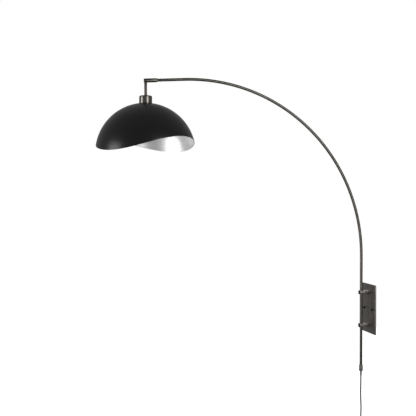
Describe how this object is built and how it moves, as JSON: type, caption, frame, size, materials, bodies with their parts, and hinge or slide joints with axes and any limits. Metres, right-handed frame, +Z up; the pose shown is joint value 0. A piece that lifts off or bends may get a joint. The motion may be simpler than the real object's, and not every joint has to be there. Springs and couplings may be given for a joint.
{
  "type": "wall sconce",
  "caption": "Plug-in wall sconce: plate with clamp posts, long bent-tube arm that swings and slides, turnable dome shade with a wavy rim, and a cord with rocker switch and plug.",
  "frame": {"origin": "centre of the wall plate's back face, on the wall", "axes": "+Z up, +Y into the wall, the arm reaches out along -Y"},
  "size_m": [0.4189, 1.2352, 1.8298],
  "materials": {
    "plate_bronze": "dark bronze, satin",
    "arm_bronze": "dark bronze with lighter rubbed streaks",
    "cup_bronze": "dark bronze, semi-gloss",
    "collar_metal": "grey bronze, satin",
    "black_metal": "black, satin",
    "zinc_steel": "zinc plated",
    "nylon": "natural",
    "black_moulding": "black, matt",
    "brass": "plain",
    "shade_black": "satin black outside, silver leaf inside",
    "soft_black": "matt",
    "cord_grey": "dark grey, satin",
    "core_white": "white and black insulation",
    "switch_black": "black, semi-gloss",
    "blade_metal": "nickelled brass"
  },
  "bodies": {
    "wall": {"wall_plate": "plate_bronze", "mounting_strap": "zinc_steel", "strap_studs": "zinc_steel", "cap_nuts": "black_metal", "upper_post": "arm_bronze", "lower_post": "arm_bronze", "post_screws": "zinc_steel"},
    "bushes": {"upper_bush": "nylon", "lower_bush": "nylon"},
    "upper_knob": {"upper_clamp_knob": "black_metal"},
    "lower_knob": {"lower_clamp_knob": "black_metal"},
    "arm": {"pole_tube": "arm_bronze", "pole_coupler": "zinc_steel", "arc_lower": "arm_bronze", "arc_coupler": "zinc_steel", "arc_upper": "arm_bronze", "coupler_screws": "black_metal", "elbow_sleeve": "arm_bronze", "sleeve_screw": "black_metal", "stem": "arm_bronze", "jam_nut": "zinc_steel", "cup": "cup_bronze", "lampholder_body": "black_moulding", "holder_core": "black_moulding", "screw_shell": "brass", "centre_contact": "brass", "shade_ring": "black_moulding", "bottom_collar": "collar_metal", "collar_screw": "black_metal", "strain_relief": "soft_black", "inner_lead": "cord_grey", "lead_cores": "core_white", "cord_drop": "cord_grey", "switch_front": "switch_black", "switch_back": "switch_black", "switch_screws": "zinc_steel", "switch_contacts": "brass", "cord_hank": "cord_grey", "hank_tie": "soft_black", "plug_body": "switch_black", "plug_blades": "blade_metal"},
    "shade": {"shade": "shade_black"},
    "rocker": {"switch_rocker": "switch_black"}
  },
  "joints": [
    {"name": "arm_swing", "type": "hinge", "parent": "wall", "child": "bushes", "pos_m": [0, -0.042, 0], "axis": [0, 0, 1], "range_deg": [-78, 78]},
    {"name": "height_slide", "type": "slide", "parent": "bushes", "child": "arm", "axis": [0, 0, 1], "range_m": [-0.135, 0.15]},
    {"name": "shade_turn", "type": "hinge", "parent": "arm", "child": "shade", "pos_m": [0, -1.02393, 0.9], "axis": [0, 0, 1], "continuous": true},
    {"name": "upper_knob_turn", "type": "hinge", "parent": "wall", "child": "upper_knob", "pos_m": [0, -0.0508, 0.0745], "axis": [0, 1, 0], "range_deg": [0, 180]},
    {"name": "lower_knob_turn", "type": "hinge", "parent": "wall", "child": "lower_knob", "pos_m": [0, -0.0508, -0.0745], "axis": [0, 1, 0], "range_deg": [0, 180]},
    {"name": "rocker_tip", "type": "hinge", "parent": "arm", "child": "rocker", "pos_m": [0, -0.0492, -0.536], "axis": [1, 0, 0], "range_deg": [-14, 0]}
  ]
}
